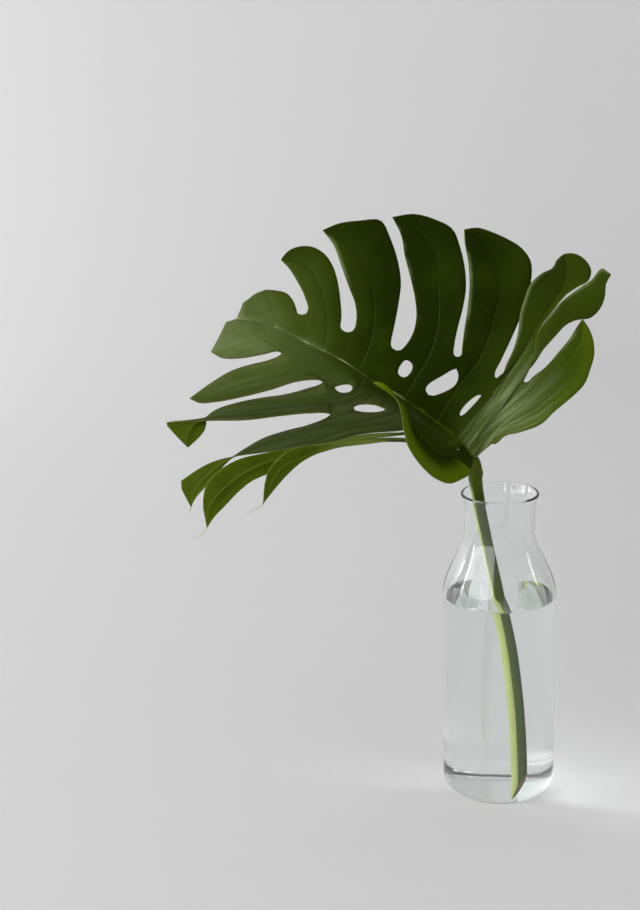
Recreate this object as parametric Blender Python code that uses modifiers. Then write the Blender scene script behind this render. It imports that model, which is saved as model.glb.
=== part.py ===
"""One cut monstera leaf standing in a clear glass carafe of water.

The origin is the centre of the carafe's flat foot, +Z up, and the leaf's upper face looks towards -Y.
Lengths in the tables below are millimetres.
"""

import bmesh
import bpy
import numpy as np
from mathutils import Vector

MM = 0.001
CLEARANCE = 0.35  # between pieces that touch

# Carafe
BODY_RADIUS = 47.5
NECK_RADIUS = 29.3
RIM_RADIUS = 31.2  # middle of the bead
BEAD_RADIUS = 1.2
RIM_HEIGHT = 264.0
FOOT_RADIUS = 35.0
FOOT_ROUNDING = 13.0
WALL = 2.6
NECK_WALL = 2.2
FLOOR_THICKNESS = 4.0
FLOOR_ROUNDING = 9.0
SHOULDER_LOW = 178.0
SHOULDER_HIGH = 234.0
NECK_TOP = 251.0
TURNS = 40  # facets round the carafe

# Water
WATER_LEVEL = 174.5
MENISCUS = 1.2

# Stalk, from its cut foot to the knuckle under the blade: x, y, z, radius
STALK = [
    (12.0, -30.0, 4.6, 6.1),
    (12.3, -28.5, 25.0, 6.2),
    (11.2, -24.5, 60.0, 6.0),
    (8.4, -19.0, 100.0, 5.8),
    (4.2, -12.5, 140.0, 5.5),
    (-1.4, -7.0, 175.0, 5.2),
    (-7.4, -7.0, 205.0, 5.0),
    (-13.4, -9.6, 234.0, 4.9),
    (-19.0, -13.2, 264.0, 5.0),
    (-21.6, -17.2, 279.0, 5.5),
    (-22.6, -19.8, 289.0, 6.2),
    (-23.4, -21.5, 294.6, 5.5),
    (-23.8, -22.3, 297.0, 3.9),
]
CUT_POINT = (13.0, -31.0, 16.0)
CUT_NORMAL = (0.82, -0.42, -0.40)

# Blade
BLADE_THICKNESS = 0.9
SIDE_VEIN_THICKNESS = 2.0
MIDRIB_THICKNESS = 4.2
MIDRIB_HALF_WIDTH = (1.0, 3.4)  # at the blade's tip and at the stalk
PUCKER = 0.7  # how far the blade swells between its veins
COLUMNS = 6  # across each lobe
FREE_ROWS = 12  # along the free part of a lobe
MIDRIB = [
    (-213, 18, 413), (-183, 12, 407), (-155, 6, 393), (-129, 0, 380), (-107, -5, 366),
    (-89, -9, 355), (-66, -13, 340), (-43, -17, 322), (-31, -20, 311), (-24, -23, 300),
]
# Where the lobes part along the midrib, as shares of its length from the blade's tip
PARTINGS = [0.0, 0.265, 0.41, 0.62, 0.745, 0.865, 0.94, 0.97, 1.0]
# Where the veins leave it, on the far side and on the near side
FAR_ROOTS = [0.145, 0.34, 0.48, 0.67, 0.81, 0.905, 0.95, 0.98]
NEAR_ROOTS = [0.145, 0.33, 0.51, 0.67, 0.81, 0.905, 0.965]

# Each slit ends towards the midrib at a point; some have a hole nearer the midrib: start, end, half width.
FAR_SLITS = [
    dict(end=(-209, 20, 421)),
    dict(end=(-160, 16, 415)),
    dict(end=(-124, 9, 401)),
    dict(end=(-84, 3, 386), hole=((-81, -4, 366), (-75, 1, 378), 5.0)),
    dict(end=(-35, 0, 380), hole=((-59, -8, 351), (-36, -3, 371), 7.5)),
    dict(end=(-4, -6, 363), hole=((-34, -13, 334), (-17, -9, 350), 3.2)),
    dict(end=(27, 2, 394)),
    dict(end=(17, -12, 361)),
    dict(end=(-12, -34, 316)),
]
NEAR_SLITS = [
    dict(end=(-217, 15, 412)),
    dict(end=(-177, -8, 389)),
    dict(end=(-144, -28, 369), hole=((-121, -24, 364), (-134, -28, 362), 5.0)),
    dict(end=(-139, -64, 350), hole=((-99, -44, 351), (-120, -54, 351), 8.0)),
    dict(end=(-80, -75, 339)),
    dict(end=(-75, -79, 334)),
    dict(end=(-42, -32, 308)),
    dict(end=(-28, -38, 296)),
]

# Each lobe's free margin towards the blade's tip, its vein, its free margin towards the stalk, and its point.
FAR_LOBES = [
    dict(
        tipward=[(-204, 24, 427), (-198, 27, 431)],
        vein=[(-183, 22, 420)],
        stalkward=[(-164, 20, 419), (-167, 25, 426), (-172, 29, 431), (-180, 31, 433)],
        point=(-189, 31, 434),
    ),
    dict(
        tipward=[(-155, 19, 418), (-157, 25, 428), (-163, 33, 440), (-169, 40, 449)],
        vein=[(-140, 9, 400), (-139, 17, 414), (-144, 31, 434), (-156, 43, 452)],
        stalkward=[
            (-128, 14, 409), (-128, 24, 425), (-130, 33, 440), (-134, 41, 452), (-141, 46, 461),
            (-151, 49, 466), (-162, 49, 466), (-171, 48, 462),
        ],
        point=(-176, 46, 456),
    ),
    dict(
        tipward=[(-116, 14, 408), (-116, 21, 421), (-121, 30, 435), (-127, 41, 452), (-132, 50, 466)],
        vein=[(-109, 2, 382), (-103, 9, 396), (-100, 20, 417), (-103, 33, 438), (-112, 48, 462)],
        stalkward=[
            (-88, 6, 393), (-85, 12, 404), (-81, 21, 420), (-78, 32, 437), (-80, 42, 454),
            (-85, 50, 470), (-93, 57, 485), (-110, 59, 485), (-128, 59, 483),
        ],
        point=(-141, 58, 478),
    ),
    dict(
        tipward=[
            (-78, 5, 388), (-71, 9, 397), (-67, 16, 409), (-67, 25, 423), (-70, 35, 440),
            (-74, 45, 457), (-76, 53, 472),
        ],
        vein=[(-69, -4, 364), (-59, 2, 378), (-50, 12, 400), (-47, 28, 426), (-48, 45, 454), (-60, 56, 474)],
        stalkward=[
            (-37, 4, 389), (-34, 11, 400), (-28, 21, 418), (-25, 30, 431), (-25, 39, 446),
            (-28, 47, 462), (-34, 55, 477), (-47, 60, 484), (-65, 62, 489),
        ],
        point=(-83, 61, 487),
    ),
    dict(
        tipward=[
            (-31, 2, 386), (-29, 8, 397), (-25, 19, 415), (-22, 30, 433), (-22, 40, 451), (-24, 48, 466),
        ],
        vein=[(-37, -6, 353), (-16, 4, 378), (-3, 20, 406), (3, 34, 428), (1, 46, 449), (-8, 54, 464)],
        stalkward=[
            (0, 1, 375), (8, 10, 388), (17, 20, 404), (25, 31, 421), (30, 40, 437), (30, 47, 450),
            (23, 52, 460), (12, 56, 467), (-1, 58, 473), (-13, 57, 477),
        ],
        point=(-24, 54, 476),
    ),
    dict(
        tipward=[
            (4, -3, 373), (10, 2, 384), (15, 8, 398), (17, 13, 412), (21, 17, 423), (26, 21, 434),
            (36, 26, 442), (46, 31, 446), (50, 35, 452),
        ],
        vein=[(-18, -12, 338), (-1, -7, 356), (16, 0, 379), (30, 8, 401), (44, 18, 419), (57, 30, 438)],
        stalkward=[
            (37, 7, 407), (47, 12, 419), (56, 18, 427), (66, 23, 432), (76, 30, 436), (78, 34, 442),
            (72, 38, 452), (64, 39, 456),
        ],
        point=(56, 37, 456),
    ),
    dict(
        tipward=[(36, 2, 407), (46, 6, 418), (55, 11, 425), (65, 15, 431), (75, 17, 437), (84, 18, 446)],
        vein=[(-11, -18, 333), (6, -15, 353), (24, -8, 376), (40, -1, 395), (58, 7, 411), (73, 12, 423)],
        stalkward=[
            (25, -8, 373), (34, -4, 385), (44, 0, 395), (53, 4, 403), (62, 8, 406), (74, 11, 407),
            (82, 13, 414), (86, 15, 423), (87, 16, 434),
        ],
        point=(91, 17, 441),
    ),
    dict(
        tipward=[(23, -14, 364), (34, -12, 372), (45, -8, 383), (55, -4, 394), (61, 0, 402)],
        vein=[(-15, -28, 319), (4, -27, 336), (29, -22, 355), (50, -14, 376), (64, -6, 394)],
        stalkward=[
            (-3, -38, 322), (10, -42, 327), (27, -44, 334), (36, -42, 342), (45, -38, 348),
            (55, -34, 355), (63, -28, 361), (69, -21, 372), (73, -14, 382), (73, -8, 393), (70, -2, 402),
        ],
        point=(66, 3, 408),
    ),
]
NEAR_LOBES = [
    dict(
        tipward=[(-223, 11, 408), (-228, 7, 399)],
        vein=[(-198, 6, 402), (-217, 3, 395)],
        stalkward=[(-192, -8, 388), (-212, -7, 385), (-226, -2, 385)],
        point=(-234, 2, 389),
    ),
    dict(
        tipward=[(-186, -10, 384), (-200, -11, 381), (-216, -14, 377), (-233, -22, 369)],
        vein=[(-148, -10, 380), (-162, -17, 376), (-184, -22, 372), (-210, -27, 367), (-232, -31, 362)],
        stalkward=[(-161, -31, 371), (-186, -35, 365), (-211, -38, 360), (-230, -38, 357), (-243, -35, 356)],
        point=(-250, -32, 359),
    ),
    dict(
        tipward=[
            (-158, -31, 364), (-174, -35, 361), (-192, -40, 360), (-210, -45, 358), (-230, -52, 353),
            (-235, -60, 350), (-236, -67, 342), (-243, -67, 334),
        ],
        vein=[
            (-117, -25, 361), (-135, -40, 358), (-151, -48, 357), (-174, -54, 357), (-201, -59, 356),
            (-228, -64, 352), (-245, -68, 346), (-250, -68, 338),
        ],
        stalkward=[
            (-156, -66, 353), (-179, -69, 352), (-204, -71, 350), (-233, -70, 350), (-250, -68, 349),
            (-266, -64, 347), (-259, -66, 338),
        ],
        point=(-250, -66, 328),
    ),
    dict(
        tipward=[
            (-156, -68, 344), (-174, -73, 341), (-192, -80, 337), (-204, -87, 332), (-214, -94, 327),
            (-224, -96, 317), (-235, -97, 305), (-244, -97, 295),
        ],
        vein=[
            (-84, -48, 343), (-101, -62, 343), (-118, -70, 343), (-143, -79, 343), (-160, -84, 340),
            (-192, -88, 335), (-214, -94, 327), (-234, -95, 313), (-244, -96, 301),
        ],
        stalkward=[
            (-86, -77, 340), (-110, -82, 340), (-125, -87, 339), (-141, -91, 335), (-161, -95, 334),
            (-192, -95, 330), (-215, -94, 327), (-227, -93, 324), (-238, -92, 319), (-247, -91, 313),
            (-255, -93, 307), (-252, -95, 299),
        ],
        point=(-247, -97, 289),
    ),
    dict(
        tipward=[
            (-87, -72, 333), (-125, -88, 334), (-144, -98, 334), (-163, -108, 328), (-175, -112, 323),
            (-187, -116, 319), (-198, -118, 315), (-209, -119, 307), (-220, -120, 296), (-228, -120, 288),
        ],
        vein=[
            (-67, -48, 332), (-87, -73, 336), (-125, -91, 337), (-144, -101, 336), (-170, -110, 331),
            (-196, -116, 325), (-219, -120, 311), (-232, -120, 295),
        ],
        stalkward=[
            (-86, -73, 337), (-125, -93, 340), (-144, -102, 338), (-163, -107, 337), (-191, -113, 334),
            (-209, -117, 331), (-221, -119, 325), (-232, -120, 315), (-236, -120, 301),
        ],
        point=(-234, -119, 279),
    ),
    dict(
        tipward=[
            (-86, -78, 331), (-120, -98, 335), (-137, -109, 336), (-147, -117, 335), (-161, -124, 330),
            (-173, -128, 321), (-183, -130, 310),
        ],
        vein=[
            (-53, -42, 319), (-84, -77, 332), (-118, -100, 337), (-140, -114, 338), (-160, -123, 334),
            (-176, -129, 328), (-185, -130, 315),
        ],
        stalkward=[
            (-61, -52, 320), (-84, -78, 334), (-110, -96, 339), (-129, -108, 341), (-144, -117, 341),
            (-159, -125, 342), (-171, -128, 340), (-179, -130, 334), (-185, -131, 328), (-189, -131, 317),
        ],
        point=(-191, -130, 300),
    ),
    dict(
        span=2,
        tipward=[
            (-36, -33, 311), (-47, -47, 320), (-59, -66, 335), (-75, -80, 350), (-83, -87, 361),
            (-89, -91, 368), (-94, -90, 376), (-102, -89, 381),
        ],
        vein=[
            (-35, -33, 306), (-48, -46, 308), (-62, -62, 319), (-75, -78, 338), (-84, -90, 360),
            (-98, -92, 377),
        ],
        stalkward=[
            (-34, -50, 293), (-46, -62, 292), (-58, -72, 299), (-68, -81, 310), (-76, -88, 322),
            (-81, -93, 332), (-84, -96, 345), (-86, -97, 359), (-89, -96, 369), (-96, -94, 374),
            (-102, -91, 377),
        ],
        point=(-107, -86, 380),
    ),
]
# Rows of the blade's grid that lie between the midrib and the slits' inner ends
HOLE_START, HOLE_END, SLIT_ROW = 3, 7, 8
FREE_SPACING = 1.6  # above 1, rows lie closer behind a slit's inner end


def clear_scene():
    for obj in list(bpy.data.objects):
        bpy.data.objects.remove(obj)
    for group in list(bpy.data.collections):
        bpy.data.collections.remove(group)


def collection(name):
    made = bpy.data.collections.new(name)
    bpy.context.scene.collection.children.link(made)
    return made


def material(name, colour, roughness, transmission=0.0):
    made = bpy.data.materials.new(name)
    made.use_nodes = True
    shader = made.node_tree.nodes["Principled BSDF"]
    shader.inputs["Base Color"].default_value = (*colour, 1.0)
    shader.inputs["Roughness"].default_value = roughness
    shader.inputs["Metallic"].default_value = 0.0
    shader.inputs["Transmission Weight"].default_value = transmission
    return made


def mesh_object(name, points, faces, group, edges=()):
    mesh = bpy.data.meshes.new(name)
    mesh.from_pydata([tuple(p) for p in np.asarray(points) * MM], list(edges), faces)
    obj = bpy.data.objects.new(name, mesh)
    group.objects.link(obj)
    return obj


def turned(name, profile, group):
    """A solid of revolution: the profile, radius and height, turned round the Z axis."""
    points = [(radius, 0.0, height) for radius, height in profile]
    edges = [(i, i + 1) for i in range(len(points) - 1)]
    obj = mesh_object(name, points, [], group, edges)
    screw = obj.modifiers.new("turn", "SCREW")
    screw.steps = screw.render_steps = TURNS
    screw.use_merge_vertices = True
    screw.merge_threshold = 0.00001
    return obj


def applied(obj):
    """The object with its modifiers turned into its mesh."""
    graph = bpy.context.evaluated_depsgraph_get()
    mesh = bpy.data.meshes.new_from_object(obj.evaluated_get(graph))
    obj.modifiers.clear()
    obj.data = mesh
    return obj


def arc(centre, radius, start, stop, count):
    """Points of an ellipse's arc: centre and radius are pairs, the angles are degrees."""
    angles = np.radians(np.linspace(start, stop, count))
    return [
        (centre[0] + radius[0] * np.cos(a), centre[1] + radius[1] * np.sin(a))
        for a in angles
    ]


def shoulder(body, neck, count):
    """Points of the shoulder: the radius eases from body to neck with the height."""
    shares = np.linspace(0.0, 1.0, count)
    ease = shares * shares * (3 - 2 * shares)
    heights = SHOULDER_LOW + (SHOULDER_HIGH - SHOULDER_LOW) * shares
    return list(zip(body + (neck - body) * ease, heights))


def inner_wall(gap, top):
    """The inside of the carafe from its floor's centre up to the height top, drawn in by a gap."""
    floor = FLOOR_THICKNESS + gap
    radius = BODY_RADIUS - WALL - gap
    corner = (radius - FLOOR_ROUNDING, floor + FLOOR_ROUNDING)
    wall = arc(corner, (FLOOR_ROUNDING, FLOOR_ROUNDING), -90, 0, 5)
    if top > SHOULDER_LOW:
        return [(0.0, floor), *wall, *shoulder(radius, NECK_RADIUS - NECK_WALL - gap, 9)]
    return [(0.0, floor), *wall, (radius, top)]


def make_vase(group):
    bead = arc((RIM_RADIUS, RIM_HEIGHT), (BEAD_RADIUS, BEAD_RADIUS), 200, -20, 6)
    neck_inside = NECK_RADIUS - NECK_WALL
    profile = [
        *inner_wall(0.0, RIM_HEIGHT),
        (neck_inside, NECK_TOP),
        (neck_inside + 0.9, NECK_TOP + 7),
        *bead,
        (NECK_RADIUS + 0.9, NECK_TOP + 7),
        (NECK_RADIUS, NECK_TOP),
        *reversed(shoulder(BODY_RADIUS, NECK_RADIUS, 9)),
        *arc((FOOT_RADIUS, FOOT_ROUNDING), (BODY_RADIUS - FOOT_RADIUS, FOOT_ROUNDING), 0, -90, 6),
        (0.0, 0.0),
    ]
    vase = turned("glass_vase", profile, group)
    vase.data.materials.append(material("clear glass", (0.93, 0.96, 0.95), 0.02, 1.0))
    return vase


def stalk_tube(name, extra, group, path):
    """A round tube along the stalk's path, thicker than the stalk by extra."""
    curve = bpy.data.curves.new(name, "CURVE")
    curve.dimensions = "3D"
    curve.bevel_depth = MM
    curve.bevel_resolution = 5
    curve.use_fill_caps = True
    line = curve.splines.new("POLY")
    line.points.add(len(path) - 1)
    for spot, (x, y, z, radius) in zip(line.points, path):
        spot.co = (x * MM, y * MM, z * MM, 1.0)
        spot.radius = radius + extra
    drawn = bpy.data.objects.new(name, curve)
    group.objects.link(drawn)
    graph = bpy.context.evaluated_depsgraph_get()
    mesh = bpy.data.meshes.new_from_object(drawn.evaluated_get(graph))
    bpy.data.objects.remove(drawn)
    work = bmesh.new()
    work.from_mesh(mesh)
    bmesh.ops.remove_doubles(work, verts=work.verts, dist=0.00001)
    bmesh.ops.recalc_face_normals(work, faces=work.faces)
    work.to_mesh(mesh)
    work.free()
    obj = bpy.data.objects.new(name, mesh)
    group.objects.link(obj)
    return obj


def make_stalk(group):
    path = curve_at(STALK, np.linspace(0.0, 1.0, 34))
    stalk = stalk_tube("leaf_stalk", 0.0, group, path)
    work = bmesh.new()
    work.from_mesh(stalk.data)
    cut = bmesh.ops.bisect_plane(
        work,
        geom=work.verts[:] + work.edges[:] + work.faces[:],
        plane_co=Vector(CUT_POINT) * MM,
        plane_no=Vector(CUT_NORMAL),
        clear_outer=True,
    )
    rim = [item for item in cut["geom_cut"] if isinstance(item, bmesh.types.BMEdge)]
    bmesh.ops.contextual_create(work, geom=rim)
    bmesh.ops.recalc_face_normals(work, faces=work.faces)
    work.to_mesh(stalk.data)
    work.free()
    stalk.data.materials.append(material("stalk green", (0.11, 0.19, 0.03), 0.45))
    return stalk


def make_water(group, cutters):
    side = BODY_RADIUS - WALL - CLEARANCE
    inside = inner_wall(CLEARANCE, WATER_LEVEL + MENISCUS)
    surface = [(side - 2.0, WATER_LEVEL + 0.2), (side - 5.0, WATER_LEVEL), (0.0, WATER_LEVEL)]
    water = turned("water", list(reversed([*inside, *surface])), group)
    reach = 9.0
    path = curve_at(STALK, np.linspace(0.0, 1.0, 34))
    below = path[0] + (path[0] - path[1]) * reach / np.linalg.norm(path[0] - path[1])
    path = [(*below[:3], path[0][3]), *path]
    cutter = stalk_tube("stalk_hole", CLEARANCE, cutters, path)
    cutter.hide_render = True
    cutter.display_type = "WIRE"
    applied(water)
    hole = water.modifiers.new("stalk hole", "BOOLEAN")
    hole.operation = "DIFFERENCE"
    hole.object = cutter
    water.data.materials.append(material("water", (0.96, 0.98, 0.98), 0.0, 1.0))
    return water


def curve_at(points, shares):
    """A smooth curve through points, read at shares of its chord length.

    Between two points it is the cubic whose end slopes are the finite differences there.
    """
    points = np.array(points, float)
    chords = np.linalg.norm(np.diff(points[:, :3], axis=0), axis=1)
    knots = np.concatenate([[0.0], np.cumsum(chords)]) / chords.sum()
    slopes = np.gradient(points, knots, axis=0)
    shares = np.asarray(shares, float)
    left = np.clip(np.searchsorted(knots, shares, side="right") - 1, 0, len(knots) - 2)
    step = (knots[left + 1] - knots[left])[:, None]
    u = (shares - knots[left])[:, None] / step
    return (
        points[left] * (1 + 2 * u) * (1 - u) ** 2
        + slopes[left] * step * u * (1 - u) ** 2
        + points[left + 1] * u * u * (3 - 2 * u)
        + slopes[left + 1] * step * u * u * (u - 1)
    )


def unit(vectors):
    return vectors / np.maximum(np.linalg.norm(vectors, axis=-1, keepdims=True), 1e-9)


def nearest_share(points, spot):
    """The share of a curve's length that lies nearest a spot."""
    shares = np.linspace(0.15, 0.85, 71)
    return shares[np.argmin(np.linalg.norm(curve_at(points, shares) - spot, axis=1))]


def band_half_width(share):
    return np.interp(share, [0.0, 1.0], MIDRIB_HALF_WIDTH)


def web_shares(path, slit, half_width):
    """How far along a parting each row between the midrib and the slit lies, as shares of its length."""
    length = np.linalg.norm(np.diff(np.array(path, float), axis=0), axis=1).sum()
    band = min(half_width / length, 0.2)
    if "hole" not in slit:
        return [0.0, *np.linspace(band, 1.0, SLIT_ROW)]
    chords = np.cumsum(np.linalg.norm(np.diff(np.array(path, float), axis=0), axis=1)) / length
    start, end = chords[0], chords[1]
    return [0.0, band, (band + start) / 2, *np.linspace(start, end, HOLE_END - HOLE_START + 1), 1.0]


def bend_away(end, lobe, key):
    """A point beside a slit's inner end, where its margin sets off sideways and makes the end round.

    It takes a fifth of the way outwards along the lobe and most of the way across to the first point.
    """
    end, first = np.array(end, float), np.array(lobe[key][0], float)
    outward = unit(np.array(lobe["vein"][-1], float) - end)
    step = first - end
    along = outward * (step @ outward)
    return end + 0.2 * along + 0.7 * (step - along)


def hole_width(slit, rows):
    """Half the hole's width on each row: an ellipse between the rows where it starts and ends."""
    if "hole" not in slit:
        return np.zeros(len(rows))
    middle = (HOLE_START + HOLE_END) / 2
    u = (rows - middle) / (HOLE_END - middle)
    return slit["hole"][2] * np.sqrt(np.clip(1 - u * u, 0.0, 1.0))


def lobe_grid(lobe, root, slits, partings, web_rows, free_rows, columns):
    """The points of one lobe: rows outwards from the midrib, columns from its tipward to its other margin.

    Each row runs straight from one margin to the vein and on to the other margin, then the two halves swell
    between vein and margin along the surface's normal.
    """
    roots = curve_at(MIDRIB, [partings[0], root, partings[1]])
    sides = []
    for start, slit, share, key in zip(roots[[0, 2]], slits, partings, ("tipward", "stalkward")):
        hole = list(slit["hole"][:2]) if "hole" in slit else []
        path = [start, *hole, slit["end"]]
        shares = web_shares(path, slit, band_half_width(share))
        web = curve_at(path, np.interp(web_rows, range(SLIT_ROW + 1), shares))
        margin = [slit["end"], bend_away(slit["end"], lobe, key), *lobe[key], lobe["point"]]
        free = curve_at(margin, free_rows)
        sides.append((web, free, shares, hole_width(slit, web_rows)))
    vein_path = [roots[1], *lobe["vein"], lobe["point"]]
    joined = nearest_share(vein_path, (np.array(slits[0]["end"]) + slits[1]["end"]) / 2)
    vein_shares = (np.array(sides[0][2]) + sides[1][2]) / 2 * joined
    vein_web = curve_at(vein_path, np.interp(web_rows, range(SLIT_ROW + 1), vein_shares))
    vein_free = curve_at(vein_path, joined + (1 - joined) * free_rows)
    vein = np.concatenate([vein_web, vein_free])
    margins = []
    for web, free, _, width in sides:
        margins.append(np.concatenate([web + unit(vein_web - web) * width[:, None], free]))
    across = np.linspace(0.0, 1.0, columns // 2 + 1)[None, :, None]
    first = margins[0][:, None] * (1 - across) + vein[:, None] * across
    second = vein[:, None] * (1 - across) + margins[1][:, None] * across
    grid = np.concatenate([first, second[:, 1:]], axis=1)
    # The midrib's own curve, and not the chord between two partings, is the first row.
    grid[0] = curve_at(MIDRIB, np.linspace(partings[0], partings[1], columns + 1))
    return grid


def swell(grid, facing):
    """Raises the grid between its veins and margins, towards the side that facing names."""
    columns = grid.shape[1] - 1
    normal = unit(np.cross(np.gradient(grid, axis=0), np.gradient(grid, axis=1))) * facing
    wave = np.abs(np.sin(2 * np.pi * np.arange(columns + 1) / columns))[None, :, None]
    width = np.linalg.norm(grid[:, -1] - grid[:, 0], axis=1)[:, None, None]
    rise = np.clip(np.arange(len(grid)) / 4, 0.0, 1.0)[:, None, None]
    return grid + normal * wave * rise * PUCKER * np.clip(width / 30.0, 0.0, 1.0)


def blade_surface(web_step, free_count, columns):
    """The blade's upper face: points, triangles, and the thickness wanted at each point."""
    web_rows = np.arange(0, SLIT_ROW + web_step / 2, web_step)
    free_rows = (np.arange(1, free_count + 1) / free_count) ** FREE_SPACING
    points, faces, thickness = [], [], []
    halves = ((FAR_LOBES, FAR_ROOTS, FAR_SLITS, -1.0), (NEAR_LOBES, NEAR_ROOTS, NEAR_SLITS, 1.0))
    for lobes, roots, slits, facing in halves:
        place = 0
        for index, (lobe, root) in enumerate(zip(lobes, roots)):
            span = lobe.get("span", 1)
            partings = (PARTINGS[place], PARTINGS[place + span])
            place += span
            count = columns * span
            grid = lobe_grid(lobe, root, slits[index:index + 2], partings, web_rows, free_rows, count)
            grid = swell(grid, facing)
            first = sum(len(block) for block in points)
            rows = len(grid)
            points.append(grid.reshape(-1, 3))
            number = first + np.arange(rows * (count + 1)).reshape(rows, count + 1)
            a, b = number[:-1, :-1].ravel(), number[:-1, 1:].ravel()
            c, d = number[1:, 1:].ravel(), number[1:, :-1].ravel()
            quads = [(a, b, c), (a, c, d)] if facing < 0 else [(a, c, b), (a, d, c)]
            faces += [np.stack(corners, 1) for corners in quads]
            thick = np.full((rows, count + 1), BLADE_THICKNESS)
            fade = np.linspace(1.0, 0.0, rows)
            thick[:, count // 2] += (SIDE_VEIN_THICKNESS - BLADE_THICKNESS) * fade
            along = np.linspace(partings[0], partings[1], count + 1)
            thick[0] = MIDRIB_THICKNESS * np.interp(along, [0.0, 0.5, 1.0], [0.4, 0.7, 1.0])
            thickness.append(thick.ravel())
    return np.concatenate(points), np.concatenate(faces), np.concatenate(thickness)


def make_blade(group):
    points, faces, thickness = blade_surface(1, FREE_ROWS, COLUMNS)
    blade = mesh_object("leaf_blade", points, faces.tolist(), group)
    depth = blade.vertex_groups.new(name="thickness")
    for index, wanted in enumerate(thickness):
        depth.add([index], float(wanted / MIDRIB_THICKNESS), "REPLACE")
    work = bmesh.new()
    work.from_mesh(blade.data)
    bmesh.ops.remove_doubles(work, verts=work.verts, dist=0.00002)
    flat = [face for face in work.faces if face.calc_area() < 1e-10]
    bmesh.ops.dissolve_degenerate(work, dist=0.00002, edges=[edge for face in flat for edge in face.edges])
    work.to_mesh(blade.data)
    work.free()
    shell = blade.modifiers.new("thickness", "SOLIDIFY")
    shell.thickness = MIDRIB_THICKNESS * MM
    shell.offset = -1.0
    shell.vertex_group = depth.name
    blade.data.materials.append(material("leaf green", (0.03, 0.06, 0.01), 0.4))
    return blade


def main():
    clear_scene()
    leaf_in_vase = collection("monstera leaf")
    cutters = collection("cutters")
    vase = make_vase(leaf_in_vase)
    stalk = make_stalk(leaf_in_vase)
    water = make_water(leaf_in_vase, cutters)
    make_blade(leaf_in_vase)
    for turned_piece in (vase, stalk, water):
        turned_piece.data.shade_smooth()


main()
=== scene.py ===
"""A monstera leaf standing in a glass carafe of water, under soft light."""

import bmesh
import bpy
import numpy as np
from mathutils import Matrix, Vector


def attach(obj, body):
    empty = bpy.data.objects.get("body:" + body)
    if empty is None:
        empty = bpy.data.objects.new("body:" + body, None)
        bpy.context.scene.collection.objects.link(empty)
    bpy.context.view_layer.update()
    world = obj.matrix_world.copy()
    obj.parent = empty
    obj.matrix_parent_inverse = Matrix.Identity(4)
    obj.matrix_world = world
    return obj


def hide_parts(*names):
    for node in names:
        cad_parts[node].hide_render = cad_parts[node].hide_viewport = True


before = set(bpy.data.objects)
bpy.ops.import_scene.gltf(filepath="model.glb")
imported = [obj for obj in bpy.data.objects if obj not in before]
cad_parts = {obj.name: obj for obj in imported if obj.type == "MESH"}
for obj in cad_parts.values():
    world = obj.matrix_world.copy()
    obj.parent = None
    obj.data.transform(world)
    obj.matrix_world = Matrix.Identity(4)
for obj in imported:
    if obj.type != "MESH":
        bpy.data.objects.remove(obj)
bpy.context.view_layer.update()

MM = 0.001

# Carafe and water, millimetres
BODY_RADIUS = 47.5
NECK_RADIUS = 29.3
RIM_RADIUS = 31.2
BEAD_RADIUS = 1.2
RIM_HEIGHT = 264.0
FOOT_RADIUS = 35.0
FOOT_ROUNDING = 13.0
WALL = 2.6
NECK_WALL = 2.2
FLOOR_THICKNESS = 4.0
FLOOR_ROUNDING = 9.0
SHOULDER_LOW = 178.0
SHOULDER_HIGH = 234.0
NECK_TOP = 251.0
TURNS = 180
WATER_LEVEL = 174.5
MENISCUS_RISE = 1.4
MENISCUS_REACH = 2.2
WATER_OVERLAP = 0.15
FOOT_AIR = 0.2  # air between the foot and the floor, which keeps the base clear
CREASE_ANGLE = 32.0  # sharper bends than this keep a crease

# Stalk, from its cut foot to the knuckle under the blade: x, y, z, radius
STALK = [
    (12.0, -30.0, 4.6, 6.1), (12.3, -28.5, 25.0, 6.2), (11.2, -24.5, 60.0, 6.0), (8.4, -19.0, 100.0, 5.8),
    (4.2, -12.5, 140.0, 5.5), (-1.4, -7.0, 175.0, 5.2), (-7.4, -7.0, 205.0, 5.0), (-13.4, -9.6, 234.0, 4.9),
    (-19.0, -13.2, 264.0, 5.0), (-21.6, -17.2, 279.0, 5.5), (-22.6, -19.8, 289.0, 6.2),
    (-23.4, -21.6, 296.0, 5.4), (-23.9, -22.6, 300.5, 4.2),
]
CUT_POINT = (13.0, -31.0, 16.0)
CUT_NORMAL = (0.82, -0.42, -0.40)

# Blade, millimetres
BLADE_THICKNESS = 0.9
SIDE_VEIN_THICKNESS = 2.0
MIDRIB_THICKNESS = 4.2
MIDRIB_HALF_WIDTH = (1.0, 3.4)
PUCKER = 0.7
MIDRIB = [
    (-213, 18, 413), (-183, 12, 407), (-155, 6, 393), (-129, 0, 380), (-107, -5, 366),
    (-89, -9, 355), (-66, -13, 340), (-43, -17, 322), (-31, -20, 311), (-24, -23, 300),
]
# Where the lobes part along the midrib, as shares of its length from the blade's tip
PARTINGS = [0.0, 0.265, 0.41, 0.62, 0.745, 0.865, 0.94, 0.97, 1.0]
# Where the veins leave it, on the far side and on the near side
FAR_ROOTS = [0.145, 0.34, 0.48, 0.67, 0.81, 0.905, 0.95, 0.98]
NEAR_ROOTS = [0.145, 0.33, 0.51, 0.67, 0.81, 0.905, 0.965]

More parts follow.
